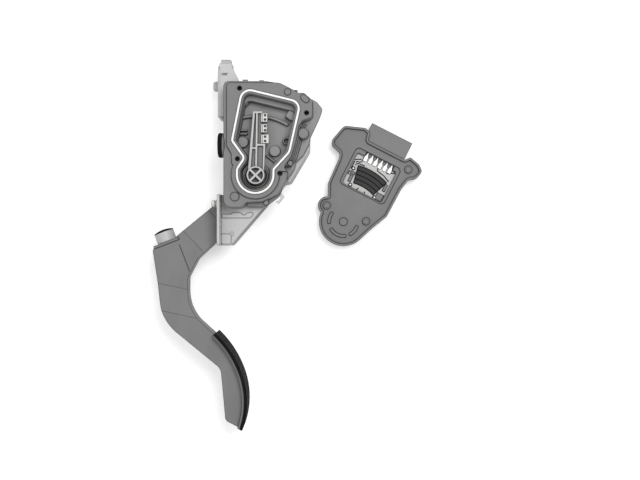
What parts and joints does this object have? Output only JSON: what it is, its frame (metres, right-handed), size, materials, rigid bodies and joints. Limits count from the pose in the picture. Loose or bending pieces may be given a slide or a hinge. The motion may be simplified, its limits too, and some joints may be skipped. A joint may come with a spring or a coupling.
{
  "type": "accelerator pedal",
  "caption": "Electronic accelerator pedal: sprung arm with a rubber pad in a folded bracket, open sensor housing with its rotor, and the sensor cover laid beside it.",
  "frame": {"origin": "middle of the two upper firewall bolt holes, on the bracket's firewall face", "axes": "-X out of the firewall face, +Y from the pad towards the top tab, +Z along the pivot axis towards the sensor side; the part lies on its rear web and on the turned-over cover"},
  "size_m": [0.25, 0.3391, 0.0669],
  "materials": {
    "bracket_paint": "satin",
    "zinc_steel": "satin",
    "light_plastic": "satin",
    "white_plastic": "satin",
    "bush_plastic": "satin",
    "black_rubber": "matte",
    "white_rubber": "matte",
    "spring_steel": "satin",
    "dark_plastic": "matte",
    "contact_metal": "satin",
    "bright_plate": "polished",
    "board": "satin",
    "track_film": "satin",
    "component": "satin"
  },
  "bodies": {
    "bracket": {"mounting_bracket": "bracket_paint", "weld_nut": "zinc_steel", "upper_locating_peg": "light_plastic", "lower_locating_peg": "white_plastic", "front_bush": "bush_plastic", "rear_bush": "bush_plastic", "spring_anchor_pin": "zinc_steel", "stop_pin": "zinc_steel", "stop_sleeve": "black_rubber", "front_return_spring": "spring_steel", "rear_return_spring": "spring_steel", "sensor_housing": "dark_plastic", "housing_screws": "zinc_steel", "housing_gasket": "white_rubber", "wall_buffer": "black_rubber", "harness_clip": "white_plastic", "shaft_seal": "black_rubber", "sensor_cover": "dark_plastic", "cover_screws": "zinc_steel", "connector_pins": "contact_metal", "sensor_board": "board", "resistor_tracks": "track_film", "contact_springs": "bright_plate", "board_components": "component"},
    "pedal": {"pedal_arm": "dark_plastic", "pivot_shaft": "dark_plastic", "drive_pin": "zinc_steel", "pedal_pad": "black_rubber", "bump_stop_cup": "light_plastic", "bump_stop_rubber": "black_rubber", "sensor_rotor": "light_plastic", "outer_wiper": "contact_metal", "middle_wiper": "contact_metal", "inner_wiper": "contact_metal"}
  },
  "joints": [
    {"name": "pedal_pivot", "type": "hinge", "parent": "bracket", "child": "pedal", "pos_m": [0.036, -0.066, 0], "axis": [0, 0, 1], "range_deg": [-13, 0], "stiffness_Nm_per_rad": 9, "springref_deg": 17.19, "deforming": ["front_return_spring", "rear_return_spring"]}
  ]
}
